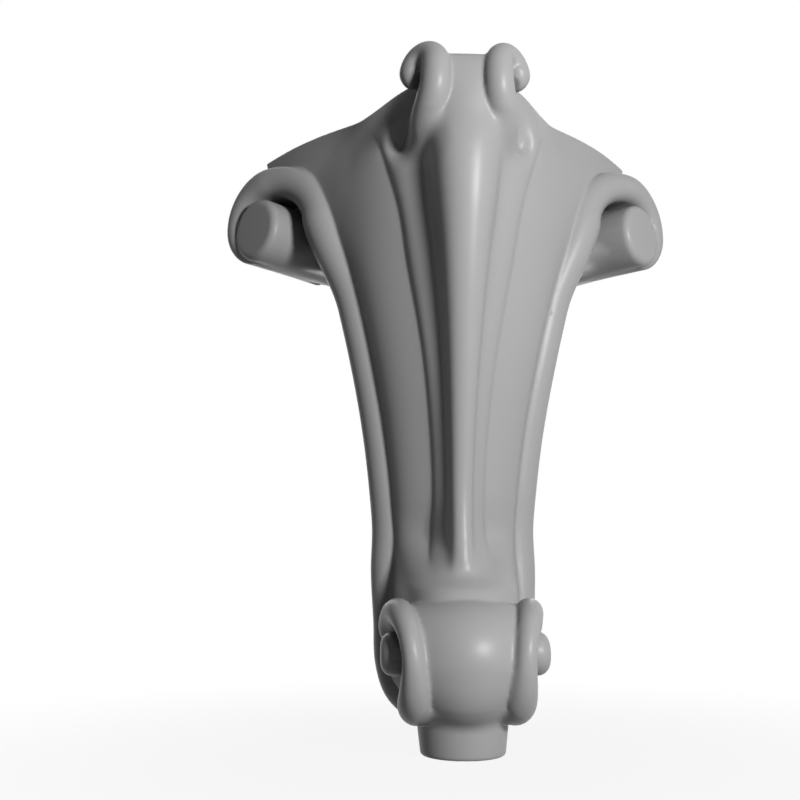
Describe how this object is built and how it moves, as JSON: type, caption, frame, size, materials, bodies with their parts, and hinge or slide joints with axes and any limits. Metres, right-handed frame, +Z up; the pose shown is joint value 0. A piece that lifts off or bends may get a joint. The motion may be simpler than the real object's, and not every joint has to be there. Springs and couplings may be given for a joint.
{
  "type": "carved furniture leg",
  "caption": "Carved corner leg with a ribbed front, side volutes on its wings, curled tips and a scroll foot on a round pad.",
  "frame": {"origin": "centre of the foot pad on the floor", "axes": "+Z up; -Y towards the carved front; X = 0 is the plane of symmetry"},
  "size_m": [0.2242, 0.1429, 0.2993],
  "materials": {
    "carved_wood": "primed grey, satin"
  },
  "bodies": {
    "root": {"carved_leg": "carved_wood"}
  },
  "joints": []
}
